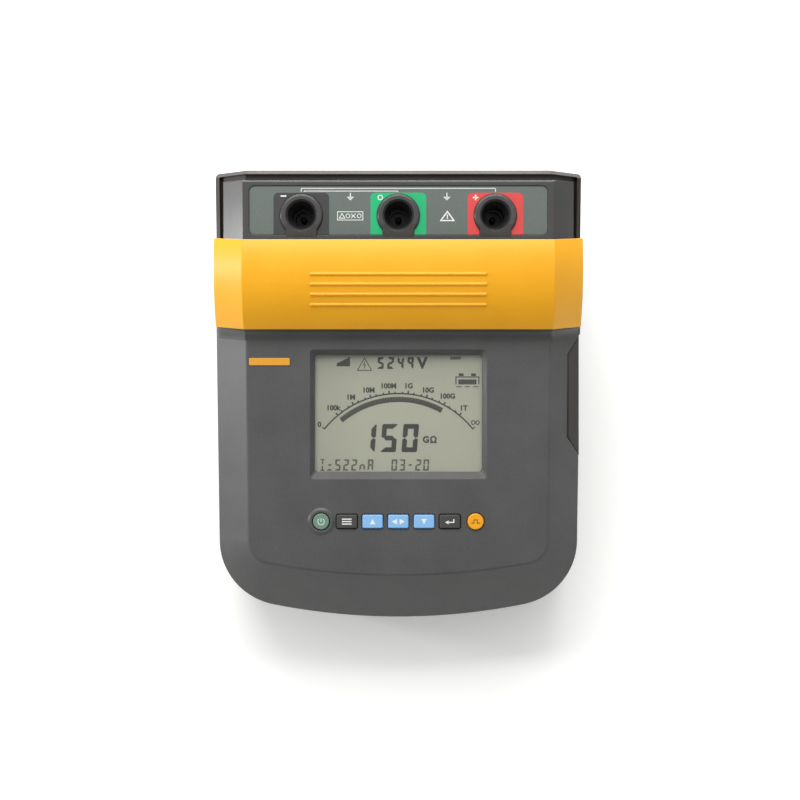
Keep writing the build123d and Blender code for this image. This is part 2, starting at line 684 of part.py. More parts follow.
def mains_inlet():
    face = SIDE_FACE + 1.4
    body = across_side(INLET_BODY, 94, face) + across_side(INLET_BODY, SIDE_FACE + 0.1, face, 0, 2.0)
    body -= across_side(INLET_CAVE, 102, face + 1, 3.0)
    for y, z in INLET_PINS:
        body -= box((90, y - 1.05, z - 2.05), (103, y + 1.05, z + 2.05))
    return body


def inlet_pin(y, z):
    blade = box((88, y - 1.0, z - 2.0), (114, y + 1.0, z + 2.0))
    return chamfer(blade.faces().sort_by(Axis.X)[-1].edges(), 0.6)


def infrared_window():
    lens = box((SIDE_FACE - WALL, EYE_Y - 6, EYE_Z - 4), (SIDE_FACE + 0.6, EYE_Y + 6, EYE_Z + 4))
    return fillet(lens.faces().sort_by(Axis.X)[-1].edges(), 0.5)


# ---- boards and what they carry
def main_board():
    board = Pos(0, MAIN_BOARD_Y, MAIN_BOARD_TOP - BOARD / 2) * Box(*MAIN_BOARD, BOARD)
    for x, y in BOARD_POSTS:
        board -= tube(x, y, -30, 0, SMALL_SCREW_RADIUS + 0.2)
    return board


def board_components():
    """Chips, relays, connectors and capacitors under the main board."""
    level = MAIN_BOARD_TOP - BOARD
    chips = [(-20, -40, 24, 24, 2.0), (22, -44, 18, 14, 2.0)]
    relays = [(52, y, 20, 16, 14) for y in (-30, -56)]
    sockets = [(-60, 8, 30, 7, 9), (0, 12, 40, 7, 9), (62, 10, 18, 7, 9), (-64, -60, 10, 36, 5)]
    parts = [
        Pos(x, y, level - height / 2) * Box(wide, deep, height)
        for x, y, wide, deep, height in chips + relays + sockets
    ]
    return parts + [tube(x, -12, level - 16, level, 5.0) for x in (-44, -30, -16)]


def hv_board():
    board = box((-90, 106, HV_BOARD_TOP - BOARD), (90, 146, HV_BOARD_TOP))
    for x, y in HV_POSTS:
        board -= tube(x, y, -100, 0, SMALL_SCREW_RADIUS + 0.2)
    return board


def hv_module():
    top = HV_BOARD_TOP - BOARD
    block = box((-76, 110, top - 22), (4, 143, top))
    return fillet(block.edges().filter_by(Axis.Z), 2.0)


def transformer(centre, core):
    """Laminated core with two windows, and the winding on its middle leg."""
    stack = Box(*core)
    window_x = core[0] * 0.28
    for side in (-1, 1):
        stack -= Pos(side * window_x, 0, 0) * Box(core[0] * 0.2, core[1] + 2, core[2] * 0.64)
    coil = Box(core[0] * 0.74, core[1] + 8, core[2] * 0.62)
    coil -= Box(core[0] * 0.37, core[1] + 0.1, core[2])
    return Pos(*centre) * stack, Pos(*centre) * coil


# ---- what stands on the base, in the standing frame
def battery():
    block = Pos(0, BATTERY_Y, BASE_INSIDE + 0.2 + BATTERY[2] / 2) * Box(*BATTERY)
    return fillet(block.edges().filter_by(Axis.Z), 2.0)


def battery_tab(x):
    front = BATTERY_Y - BATTERY[1] / 2
    return box((x - 3, front - 7, 55), (x + 3, front - 0.1, 56))


def battery_strap():
    """Steel strap over the battery, with a foot screwed down before and behind it."""
    half = BATTERY[1] / 2 + 0.3
    top = BASE_INSIDE + 0.2 + BATTERY[2] + 0.2
    low = STRAP_SEAT + FIT
    run = half + 14
    outline = [
        (BATTERY_Y - run, low), (BATTERY_Y - half, low), (BATTERY_Y - half, top),
        (BATTERY_Y + half, top), (BATTERY_Y + half, low), (BATTERY_Y + run, low),
    ]
    skin = STRAP_SKIN
    outer = [
        (BATTERY_Y + run, low + skin), (BATTERY_Y + half + skin, low + skin),
        (BATTERY_Y + half + skin, top + skin), (BATTERY_Y - half - skin, top + skin),
        (BATTERY_Y - half - skin, low + skin), (BATTERY_Y - run, low + skin),
    ]
    strap = extrude(Plane.YZ * make_face(Polyline(*outline, *outer, close=True)), STRAP_WIDTH / 2, both=True)
    for x, y in STRAP_POSTS:
        strap -= tube(x, y, 0, 30, SMALL_SCREW_RADIUS + 0.2)
    return strap


def charger_board():
    board = Pos(0, CHARGER_Y, CHARGER_HEIGHT + BOARD / 2) * Box(*CHARGER_BOARD, BOARD)
    for x, y in CHARGER_POSTS:
        board -= tube(x, y, 0, 40, SMALL_SCREW_RADIUS + 0.2)
    return board


def fuse_parts():
    """Glass fuse lying between two spring clips on the charger board."""
    level = CHARGER_HEIGHT + BOARD
    fuse = Pos(38, CHARGER_Y, level + 5) * Rot(90, 0, 0) * Cylinder(2.5, 20)
    clips = []
    for side in (-1, 1):
        y = CHARGER_Y + side * 7
        clip = box((34.4, y - 2, level), (41.6, y + 2, level + 6.4))
        clip -= Pos(38, y, level + 5) * Rot(90, 0, 0) * Cylinder(2.55, 6)
        clips.append(clip - box((35.9, y - 3, level + 5), (40.1, y + 3, level + 9)))
    return fuse, clips


def battery_lead(x):
    """Lead from a battery tab down to the charger board, along straight runs and one bend."""
    start = BATTERY_Y - BATTERY[1] / 2 - 7
    route = FilletPolyline(
        (x, start, 55.5), (x, CHARGER_Y + 20, 55.5), (x, CHARGER_Y + 20, CHARGER_HEIGHT + BOARD), radius=10
    )
    ring = Plane(origin=route @ 0, z_dir=route % 0) * Circle(1.5)
    return sweep(ring, path=route)


def downward_screw(x, y, seat, shaft):
    """Board screw driven downwards into a post on the base."""
    return Pos(x, y, seat) * Rot(180, 0, 0) * driven_screw(0, 0, 0, shaft, SMALL_SCREW_RADIUS - 0.05)


# ---- all sub-parts, by name
def panel_parts():
    """Sub-parts drawn in the panel frame."""
    parts = {
        "upper_shell": upper_shell(),
        "lower_shell": lower_shell(),
        "case_gasket": case_gasket(),
        "grip": grip(),
        "grip_core": grip_core(),
        "terminal_housing": terminal_housing(),
        "terminal_label": terminal_label(),
        "display_window": stack_plate((118.4, 87.6), -6.0, -4.3),
        "display_seal": stack_plate((114, 82), -6.9, -6.1, (112, 79.6)),
        "display_cell": stack_plate((114, 82), -9.2, -7.0),
        "display_backlight": stack_plate((114, 82), -12.7, -9.3),
        "display_carrier": display_carrier(),
        "keypad_board": keypad_board(),
        "key_switches": [key_switch(index) for index in range(len(KEYS))],
        "name_badge": name_badge(),
        "side_panel": side_panel(),
        "mains_inlet": mains_inlet(),
        "inlet_pins": [inlet_pin(y, z) for y, z in INLET_PINS],
        "infrared_window": infrared_window(),
        "main_board": main_board(),
        "board_components": board_components(),
        "hv_board": hv_board(),
        "hv_module": hv_module(),
        "socket_nuts": [socket_nut(x) for x in TERMINALS.values()],
        "socket_leads": [socket_lead(x) for x in TERMINALS.values()],
    }
    for name, x in TERMINALS.items():
        parts["tag_" + name] = tag(x)
        parts["socket_sleeve_" + name] = socket_sleeve(x)
        parts["contact_pin_" + name] = contact_pin(x)
    for index, name in enumerate(KEYS):
        parts["key_" + name] = key(index, name)
    core, coil = transformer((48, 126, HV_BOARD_TOP - BOARD - 14.1), (44, 24, 28))
    parts["hv_transformer_core"] = core
    parts["hv_transformer_winding"] = coil
    parts.update(panel_screws())
    return parts


def panel_screws():
    case = []
    for x, y in CASE_POSTS:
        case.append(driven_screw(x, y, parting_z(y) - SEAM / 2 - SCREW_SEAT, 17, CASE_SCREW_RADIUS - 0.05))
    for x, y in HOUSING_POSTS:
        case.append(driven_screw(x, y, HOUSING_FLOOR - FIT - SCREW_SEAT, 17, CASE_SCREW_RADIUS - 0.05))
    small = SMALL_SCREW_RADIUS - 0.05
    return {
        "case_screws": case,
        "main_board_screws": [driven_screw(x, y, MAIN_BOARD_TOP - BOARD, 8, small) for x, y in BOARD_POSTS],
        "keypad_screws": [driven_screw(x, y, KEYPAD_TOP - BOARD, 6, small) for x, y in KEYPAD_POSTS],
        "grip_screws": [driven_screw(x, y, GRIP_POST_FOOT, 10, small) for x, y in GRIP_POSTS],
        "hv_board_screws": [driven_screw(x, y, HV_BOARD_TOP - BOARD, 8, small) for x, y in HV_POSTS],
    }


def standing_parts():
    """Sub-parts drawn in the standing frame."""
    fuse, clips = fuse_parts()
    level = CHARGER_HEIGHT + BOARD
    core, coil = transformer((-18, CHARGER_Y, level + CHARGER_CORE[2] / 2 + 0.1), CHARGER_CORE)
    screws = [downward_screw(x, y, level, 6) for x, y in CHARGER_POSTS]
    screws += [downward_screw(x, y, STRAP_SEAT + FIT + STRAP_SKIN, 5) for x, y in STRAP_POSTS]
    return {
        "rubber_feet": [tube(x, y, 0, FOOT_TOP, FOOT_RADIUS) for x, y in FOOT_PLACES],
        "battery": battery(),
        "battery_tabs": [battery_tab(x) for x in (-50, 50)],
        "battery_strap": battery_strap(),
        "battery_leads": [battery_lead(x) for x in (-50, 50)],
        "charger_board": charger_board(),
        "charger_transformer_core": core,
        "charger_transformer_winding": coil,
        "fuse": fuse,
        "fuse_clips": clips,
        "base_screws": screws,
    }


def as_list(shape):
    return shape if isinstance(shape, list) else [shape]


def main():
    os.makedirs("parts", exist_ok=True)
    stood = {name: [stand_up(s) for s in as_list(shape)] for name, shape in panel_parts().items()}
    stood.update({name: as_list(shape) for name, shape in standing_parts().items()})
    solids = [solid for shapes in stood.values() for shape in shapes for solid in shape.solids()]
    bounds = Compound(children=solids).bounding_box()
    centre = round((bounds.min.Y + bounds.max.Y) / 2, 2)
    print("footprint centre was at", round(centre, 3), "size", bounds.size)
    for name, shapes in stood.items():
        solids = [solid for shape in shapes for solid in (Pos(0, -centre, 0) * shape).solids()]
        export_step(Compound(solids) if len(solids) > 1 else solids[0], "parts/" + name + ".step")


main()
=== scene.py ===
# %% [markdown]
# # An insulation resistance tester
# This lesson dresses a finished CAD model of a bench and field tester: a wedge-shaped
# moulded case, a yellow carrying grip, three deep test sockets, a liquid crystal display
# and a row of seven keys. The CAD model already holds every shape that has a size to
# keep. Here each part gets the surface that its real material has, and the things too
# thin for CAD, such as print, key legends and display segments, are drawn on top.

# %% Load the frame
import json
import math

import bmesh
import bpy
from mathutils import Matrix, Vector


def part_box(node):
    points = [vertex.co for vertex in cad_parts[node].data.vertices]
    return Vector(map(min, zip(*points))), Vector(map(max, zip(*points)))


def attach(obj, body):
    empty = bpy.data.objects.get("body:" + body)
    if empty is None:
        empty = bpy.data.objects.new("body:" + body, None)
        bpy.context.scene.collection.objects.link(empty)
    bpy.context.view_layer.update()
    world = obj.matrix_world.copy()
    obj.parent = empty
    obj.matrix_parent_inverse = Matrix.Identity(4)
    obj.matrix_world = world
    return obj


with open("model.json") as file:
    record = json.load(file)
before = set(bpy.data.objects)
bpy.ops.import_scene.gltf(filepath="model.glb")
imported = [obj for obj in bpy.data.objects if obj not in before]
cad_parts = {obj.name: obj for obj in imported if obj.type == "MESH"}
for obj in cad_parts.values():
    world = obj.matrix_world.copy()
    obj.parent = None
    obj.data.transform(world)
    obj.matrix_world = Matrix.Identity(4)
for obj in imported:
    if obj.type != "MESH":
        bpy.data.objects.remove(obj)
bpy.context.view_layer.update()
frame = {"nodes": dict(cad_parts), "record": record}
nodes = frame["nodes"]
MM = 0.001

# %% [markdown]
# ## One drawing plane
# Nearly all that is drawn here lies on the sloping front panel, so it is drawn flat, in
# millimetres, and one matrix stands it up. X runs across the case, Y up the slope, and Z
# out of it. The matrix is found from the display window, a flat box whose place on the
# panel is known, so the drawing follows the CAD model if that is centred anew.

# %% Find the panel
PANEL_SLOPE = math.radians(18)
WINDOW_ON_PANEL = Vector((0, -9.4, -5.15))
low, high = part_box("display_window")
slope = Matrix.Rotation(PANEL_SLOPE, 4, "X")
PANEL = Matrix.Translation((low + high) / 2 - slope @ (WINDOW_ON_PANEL * MM)) @ slope
OFF_PANEL = PANEL.inverted()


def top_of(node):
    """How high a CAD node stands out of the panel, in millimetres."""
    return max((OFF_PANEL @ v.co).z for v in nodes[node].data.vertices) / MM


print("label face:", round(top_of("terminal_label"), 2), "mm from the panel")

# %% [markdown]
# ## Camera
# The tester is seen square on to its panel, as in a catalogue, from a metre away. A lens
# of 68 mm keeps the perspective mild, yet the deep sockets still show a little of their
# walls.

# %% Camera
CAMERA_DISTANCE = 1000
camera_data = bpy.data.cameras.new("camera")
camera_data.lens = 68.13
camera = bpy.data.objects.new("camera", camera_data)
bpy.context.scene.collection.objects.link(camera)
camera.location = PANEL @ (Vector((1.1, 0, CAMERA_DISTANCE)) * MM)
camera.rotation_euler = (PANEL_SLOPE, 0, 0)
bpy.context.scene.camera = camera
print("camera at", [round(c, 3) for c in camera.location])

# %% [markdown]
# ## Studio
# A white floor, a pale surrounding light that is stronger towards the back, and three
# softboxes. The large one hangs over the terminals, so the panel goes darker towards the
# user. A long strip far behind is mirrored in edges that face the back, and a narrow one
# at the left in the sloping side of the terminal housing. Colours are to be shown as they
# were measured, so the view transform is the plain one. The floor gives off a little
# light itself, as a lit table does, and that keeps the shadows pale.

# %% Light and floor
BRIGHTEST_SKY = Vector((-0.25, 0.85, 0.45))
SKY_IN_FRONT, SKY_BEHIND = 0.16, 0.85
bpy.context.scene.view_settings.view_transform = "Standard"
world = bpy.data.worlds.new("studio")
bpy.context.scene.world = world
world.use_nodes = True
sky = world.node_tree
backdrop = sky.nodes["Background"]
backdrop.inputs["Color"].default_value = (1, 1, 1, 1)
way = sky.nodes.new("ShaderNodeTexCoord")
towards_back = sky.nodes.new("ShaderNodeVectorMath")
towards_back.operation = "DOT_PRODUCT"
towards_back.inputs[1].default_value = BRIGHTEST_SKY.normalized()
fade = sky.nodes.new("ShaderNodeMapRange")
fade.inputs["From Min"].default_value = -0.9
fade.inputs["To Min"].default_value = SKY_IN_FRONT
fade.inputs["To Max"].default_value = SKY_BEHIND
sky.links.new(way.outputs["Generated"], towards_back.inputs[0])
sky.links.new(towards_back.outputs["Value"], fade.inputs["Value"])
sky.links.new(fade.outputs["Result"], backdrop.inputs["Strength"])


def softbox(name, place, size, power):
    """An area light, wide and high in metres, that faces the middle of the panel."""
    light = bpy.data.lights.new(name, "AREA")
    light.shape = "RECTANGLE"
    light.size, light.size_y = size
    light.energy = power
    holder = bpy.data.objects.new(name, light)
    holder.location = place
    holder.rotation_euler = (PANEL.translation - Vector(place)).to_track_quat("-Z", "Y").to_euler()
    bpy.context.scene.collection.objects.link(holder)
    return holder


softbox("back_softbox", (-0.12, 0.55, 0.95), (1.0, 0.6), 9)
softbox("back_strip", (0, 1.5, 0.32), (2.0, 0.4), 26)
softbox("side_strip", (-1.2, 0.04, 0.42), (0.1, 0.16), 3.5)
FLOOR_HALF = 30                 # metres
FLOOR_GLOW = 0.3
floor_mesh = bmesh.new()
corners = [(-FLOOR_HALF, -FLOOR_HALF), (FLOOR_HALF, -FLOOR_HALF),
           (FLOOR_HALF, FLOOR_HALF), (-FLOOR_HALF, FLOOR_HALF)]
floor_mesh.faces.new([floor_mesh.verts.new((x, y, 0)) for x, y in corners])
floor_data = bpy.data.meshes.new("floor")
floor_mesh.to_mesh(floor_data)
floor_mesh.free()
floor = bpy.data.objects.new("floor", floor_data)
bpy.context.scene.collection.objects.link(floor)
print("lights:", len(bpy.data.lights))

# %% [markdown]
# ## Colours and nodes
# Colours are written as the sRGB hex values that a colour picker shows, and one function
# turns them into the linear numbers that shaders need. Another small function adds any
# node with its inputs and settings, so a material reads as a list of what it is made of.

# %% Helpers for materials
def linear(colour):
    """An sRGB hex colour as linear red, green, blue and alpha."""
    channels = [int(colour[i:i + 2], 16) / 255 for i in (1, 3, 5)]
    return [c / 12.92 if c <= 0.04045 else ((c + 0.055) / 1.055) ** 2.4 for c in channels] + [1]


def add(tree, kind, inputs=None, **settings):
    """A node of that kind. An input is a value, or another node's output to link."""
    node = tree.nodes.new("ShaderNode" + kind)
    for setting, value in settings.items():
        setattr(node, setting, value)
    for socket, value in (inputs or {}).items():
        if isinstance(value, bpy.types.NodeSocket):
            tree.links.new(value, node.inputs[socket])
        else:
            node.inputs[socket].default_value = value
    return node


def surface(name, colour, roughness, **more):
    """A new material, its tree, its shader and object coordinates in metres.

    Each further setting is the name of one of the shader's inputs, with underscores."""
    material = bpy.data.materials.new(name)
    material.use_nodes = True
    tree = material.node_tree
    skin = tree.nodes["Principled BSDF"]
    skin.inputs["Base Color"].default_value = linear(colour)
    skin.inputs["Roughness"].default_value = roughness
    for setting, value in more.items():
        skin.inputs[setting.replace("_", " ")].default_value = value
    material.diffuse_color = linear(colour)
    return material, tree, skin, add(tree, "TexCoord").outputs["Object"]


def shades(tree, factor, dark, light):
    """A colour that goes from dark to light with the factor."""
    mix = add(tree, "Mix", {0: factor, 6: linear(dark), 7: linear(light)}, data_type="RGBA")
    return mix.outputs[2]


def scaled(colour, share):
    """A hex colour made darker or lighter."""
    channels = [min(255, round(int(colour[i:i + 2], 16) * share)) for i in (1, 3, 5)]
    return "#" + "".join(f"{c:02x}" for c in channels)


print("grey card:", [round(c, 3) for c in linear("#777777")])

# %% [markdown]
# ## Moulded plastic
# The case is an ABS and polycarbonate blend, injection moulded in a spark-eroded tool.
# The tool leaves a fine random grain that breaks up reflections, and the melt leaves
# faint broad clouds. Two noises make the two. Grain on a real case is 0.2 to 0.4 mm
# across, too fine to show from a metre away, so it is drawn at 0.9 mm. Moulded edges are
# never sharp, so the shader rounds them: the Bevel node turns the normals near an edge,
# and that is enough for the thin bright line that a rounded edge shows.

# %% Moulded plastics
def moulded(name, colour, roughness, grain=0.9, depth=0.02, edge=0.5, cloud=0.05):
    """Injection moulded plastic. Grain and edge are in millimetres."""
    material, tree, skin, place = surface(name, colour, roughness, IOR=1.53)
    sparks = add(tree, "TexNoise", {"Vector": place, "Scale": 1 / (grain * MM), "Detail": 2})
    clouds = add(tree, "TexNoise", {"Vector": place, "Scale": 1 / (35 * MM), "Detail": 3})
    both = add(tree, "Math", {0: sparks.outputs["Fac"], 1: clouds.outputs["Fac"]},
               operation="ADD")
    spread = add(tree, "MapRange", {"Value": both.outputs[0], "From Min": 0.7, "From Max": 1.3})
    tint = shades(tree, spread.outputs[0], scaled(colour, 1 - cloud), scaled(colour, 1 + cloud))
    polish = add(tree, "MapRange", {"Value": clouds.outputs["Fac"], "From Min": 0.3,
                                    "From Max": 0.7, "To Min": roughness - 0.04,
                                    "To Max": roughness + 0.04})
    rounded = add(tree, "Bevel", {"Radius": edge * MM}, samples=4)
    bump = add(tree, "Bump", {"Height": sparks.outputs["Fac"], "Distance": depth * MM,
                              "Strength": 1, "Normal": rounded.outputs[0]})
    tree.links.new(tint, skin.inputs["Base Color"])
    tree.links.new(polish.outputs[0], skin.inputs["Roughness"])
    tree.links.new(bump.outputs[0], skin.inputs["Normal"])
    return material


case_abs = moulded("abs_spark_eroded_grey", "#515151", 0.42, edge=0.7, cloud=0.07)
base_abs = moulded("abs_spark_eroded_brown_black", "#2b2421", 0.5, edge=0.7)
side_abs = moulded("abs_fine_brown_grey", "#28231f", 0.6)
housing_abs = moulded("abs_semi_gloss_grey", "#474747", 0.24, depth=0.008, edge=0.9, cloud=0.04)
grip_abs = moulded("abs_fine_signal_yellow", "#ffb30a", 0.42, grain=0.8, depth=0.012,
                   edge=0.8, cloud=0.02)
core_nylon = moulded("nylon_glass_filled_black", "#1d1d1e", 0.6, depth=0.04)
socket_pbt = moulded("pbt_charcoal", "#2c2c2d", 0.32, depth=0.006, edge=0.3)
phenolic = moulded("phenolic_black", "#1a1a1b", 0.45, edge=0.15)
diffuser = moulded("acrylic_diffuser_white", "#e9ebe4", 0.5, depth=0.003, edge=0.2)
print("moulded plastics:", len([m for m in bpy.data.materials if m.use_nodes]))

# %% [markdown]
# ## Rubber
# The seal between the shells and the feet are EPDM, and the keys are silicone rubber.
# Both are matt, with a soft bloom, because the surface scatters light a little below it.
# A fine dust of noise in roughness and colour keeps them from looking like paint.

# %% Rubbers
def rubber(name, colour, roughness, sheen=0.15, edge=0.4):
    """Moulded rubber: matt, with a faint bloom."""
    material, tree, skin, place = surface(name, colour, roughness, IOR=1.45, Sheen_Weight=sheen,
                                          Sheen_Roughness=0.5)
    dust = add(tree, "TexNoise", {"Vector": place, "Scale": 1 / (0.7 * MM), "Detail": 3})
    tint = shades(tree, dust.outputs["Fac"], scaled(colour, 0.95), scaled(colour, 1.05))
    matt = add(tree, "MapRange", {"Value": dust.outputs["Fac"], "To Min": roughness - 0.06,
                                  "To Max": roughness + 0.06})
    rounded = add(tree, "Bevel", {"Radius": edge * MM}, samples=4)
    bump = add(tree, "Bump", {"Height": dust.outputs["Fac"], "Distance": 0.008 * MM,
                              "Normal": rounded.outputs[0]})
    tree.links.new(tint, skin.inputs["Base Color"])
    tree.links.new(matt.outputs[0], skin.inputs["Roughness"])
    tree.links.new(bump.outputs[0], skin.inputs["Normal"])
    return material


seal_epdm = rubber("epdm_black", "#1e1d1d", 0.7)
foot_epdm = rubber("epdm_foot_grey", "#2b2b2b", 0.75)
key_green = rubber("silicone_grey_green", "#70907f", 0.5)
key_dark = rubber("silicone_charcoal", "#454544", 0.5)
key_blue = rubber("silicone_sky_blue", "#8cc0f2", 0.45)
key_amber = rubber("silicone_amber", "#ffab14", 0.5)
lead_silicone = rubber("silicone_red_insulation", "#a3171b", 0.45)
print("rubbers made")

# %% [markdown]
# ## Printed film
# The label round the sockets is polyester film, printed on its back and laid into a
# shallow recess. Its face is finely textured, and the print below shows as a soft speckle
# through it. The coloured tags, the badge and the white print are the same film.

# %% Printed films
def film(name, colour, roughness=0.4, speckle=0.06):
    """Back-printed polyester film with a velvet face."""
    material, tree, skin, place = surface(name, colour, roughness, IOR=1.57)
    dots = add(tree, "TexNoise", {"Vector": place, "Scale": 1 / (0.8 * MM), "Detail": 4,
                                  "Roughness": 0.7})
    spread = add(tree, "MapRange", {"Value": dots.outputs["Fac"], "From Min": 0.3,
                                    "From Max": 0.7})
    tint = shades(tree, spread.outputs[0], scaled(colour, 1 - speckle), scaled(colour, 1 + speckle))
    velvet = add(tree, "Bump", {"Height": dots.outputs["Fac"], "Distance": 0.006 * MM})
    tree.links.new(tint, skin.inputs["Base Color"])
    tree.links.new(velvet.outputs[0], skin.inputs["Normal"])
    return material


label_film = film("polyester_film_grey_green", "#646e6a")
tag_dark = film("polyester_film_charcoal", "#3b3b3c", speckle=0.04)
tag_green = film("polyester_film_green", "#02b674", roughness=0.5, speckle=0.03)
tag_red = film("polyester_film_red", "#dc4643", roughness=0.5, speckle=0.03)
badge_film = film("polyester_film_amber", "#e8a32c", roughness=0.3, speckle=0.03)
white_ink = film("ink_white", "#f2f5f2", speckle=0.02)
pale_ink = film("ink_pale_green", "#cfe6d8", speckle=0.02)
brown_ink = film("ink_brown", "#7a4d12", speckle=0.02)
print("films made")

# %% [markdown]
# ## Metals
# The mains pins are brass with a nickel plate, fuse clips and tabs are bare brass, the
# pins deep in the test sockets are brass made a dull dark brown, which is painted shade
# for the depth of the sockets, the windings are enamelled copper, transformer cores are
# stamped silicon steel, and screws are zinc plated. All are fully metallic. What tells
# them apart is colour and how the surface was made: drawn and stamped metal shows fine
# lines along the way it was pulled.

# %% Metals
def metal(name, colour, roughness, line=0.5, stretch=(1, 1, 12), depth=0.004):
    """Drawn, stamped or plated metal. Line is the spacing of its marks in millimetres."""
    material, tree, skin, place = surface(name, colour, roughness, Metallic=1.0)
    pulled = add(tree, "Mapping", {"Vector": place,
                                   "Scale": [1 / s for s in stretch]})
    marks = add(tree, "TexNoise", {"Vector": pulled.outputs[0], "Scale": 1 / (line * MM),
                                   "Detail": 3})
    tint = shades(tree, marks.outputs["Fac"], scaled(colour, 0.93), scaled(colour, 1.06))
    gloss = add(tree, "MapRange", {"Value": marks.outputs["Fac"], "To Min": roughness - 0.07,
                                   "To Max": roughness + 0.07})
    rounded = add(tree, "Bevel", {"Radius": 0.2 * MM}, samples=4)
    bump = add(tree, "Bump", {"Height": marks.outputs["Fac"], "Distance": depth * MM,
                              "Normal": rounded.outputs[0]})
    tree.links.new(tint, skin.inputs["Base Color"])
    tree.links.new(gloss.outputs[0], skin.inputs["Roughness"])
    tree.links.new(bump.outputs[0], skin.inputs["Normal"])
    return material


nickel = metal("nickel_plated_brass", "#8f8a80", 0.3)
brass = metal("brass_stamped", "#d8b465", 0.3)
# dark brown brass for the socket pins: painted shade for the depth of the test sockets
pin_brass_painted_shade = metal("brass_turned_painted_shade", "#33291c", 0.45)
zinc = metal("steel_zinc_plated", "#b9bcbf", 0.35, stretch=(1, 1, 1))
core_steel = metal("silicon_steel_laminations", "#84868a", 0.4, line=0.5, stretch=(40, 40, 1),
                   depth=0.06)
copper = metal("copper_enamelled", "#b8693a", 0.3, line=0.7, stretch=(30, 30, 1), depth=0.08)
print("metals made")

# %% [markdown]
# ## Circuit boards and battery
# A board is glass-fibre laminate under a green solder mask. Copper tracks lie under the
# mask and lift it a little, so they show as lighter, slightly raised lines. A Voronoi
# texture measured along the board's axes draws cells with straight borders, much as
# routed tracks look. The battery is a sealed lead-acid block in a ribbed ABS case.

# %% Boards and battery
def laminate(name, mask, track, pitch=2.5):
    """Glass-fibre board under solder mask, with tracks at a pitch in millimetres."""
    material, tree, skin, place = surface(name, mask, 0.35, IOR=1.52)
    cells = add(tree, "TexVoronoi", {"Vector": place, "Scale": 1 / (pitch * MM)},
                distance="CHEBYCHEV", feature="F1")
    tracks = add(tree, "MapRange", {"Value": cells.outputs["Distance"], "From Min": 0.42,
                                    "From Max": 0.46})
    tint = shades(tree, tracks.outputs[0], mask, track)
    raised = add(tree, "Bump", {"Height": tracks.outputs[0], "Distance": 0.035 * MM})
    tree.links.new(tint, skin.inputs["Base Color"])
    tree.links.new(raised.outputs[0], skin.inputs["Normal"])
    return material


board = laminate("glass_fibre_green_mask", "#1f5a36", "#3b8a55")
battery_case = moulded("abs_battery_charcoal", "#2b2d31", 0.4, grain=1.2, depth=0.05)
print("boards made")

# %% [markdown]
# ## Clear parts
# The window is cast acrylic with a hard coat. Refraction alone would leave the display
# behind it dark, because lamps aren't traced through it, so rays that look for a lamp
# pass straight through. The fuse has a plain glass tube, and the infrared port is acrylic
# dyed so dark a red that only its edge shows the colour.

# %% Clear plastics and glass
def clear(name, tint, index, roughness=0.0):
    """Clear plastic or glass that lets lamps shine through."""
    material, tree, skin, place = surface(name, tint, roughness, IOR=index,
                                          Transmission_Weight=1.0)
    smears = add(tree, "TexNoise", {"Vector": place, "Scale": 1 / (30 * MM), "Detail": 4})
    wiped = add(tree, "MapRange", {"Value": smears.outputs["Fac"], "From Min": 0.45,
                                   "From Max": 0.75, "To Min": roughness,
                                   "To Max": roughness + 0.04})
    tree.links.new(wiped.outputs[0], skin.inputs["Roughness"])
    straight = add(tree, "BsdfTransparent", {"Color": linear(tint)})
    path = add(tree, "LightPath")
    passed = add(tree, "MixShader", {"Fac": path.outputs["Is Shadow Ray"],
                                     1: skin.outputs[0], 2: straight.outputs[0]})
    tree.links.new(passed.outputs[0], tree.nodes["Material Output"].inputs["Surface"])
    return material


window_acrylic = clear("acrylic_hard_coated", "#fafcf8", 1.49)
fuse_glass = clear("glass_fuse_tube", "#f4faf6", 1.5)
infrared_acrylic = moulded("acrylic_infrared_red", "#2a0508", 0.1, depth=0.001, edge=0.3)
print("clear parts made")

# %% [markdown]
# ## Liquid crystal cell
# A reflective display is two sheets of glass with a polariser on each side and a satin
# reflector behind. Unlit, it is a greyish green. Lit segments turn the light so that it
# is blocked, and go a soft brown-black. They are drawn here as plates a twentieth of a
# millimetre thick on the cell's face.

# %% Display materials
def polarised(name, colour, roughness=0.32):
    """The face of the cell, with the fine mottle of its satin reflector."""
    material, tree, skin, place = surface(name, colour, roughness, IOR=1.5)
    mottle = add(tree, "TexNoise", {"Vector": place, "Scale": 1 / (1.1 * MM), "Detail": 3})
    tint = shades(tree, mottle.outputs["Fac"], scaled(colour, 0.975), scaled(colour, 1.025))
    satin = add(tree, "Bump", {"Height": mottle.outputs["Fac"], "Distance": 0.002 * MM})
    tree.links.new(tint, skin.inputs["Base Color"])
    tree.links.new(satin.outputs[0], skin.inputs["Normal"])
    return material


cell_glass = polarised("lcd_reflective_grey_green", "#a09e93")
lit_segment = polarised("lcd_segment_dark", "#262523")
faint_segment = polarised("lcd_segment_faint", "#4a4943")
print("display materials made")
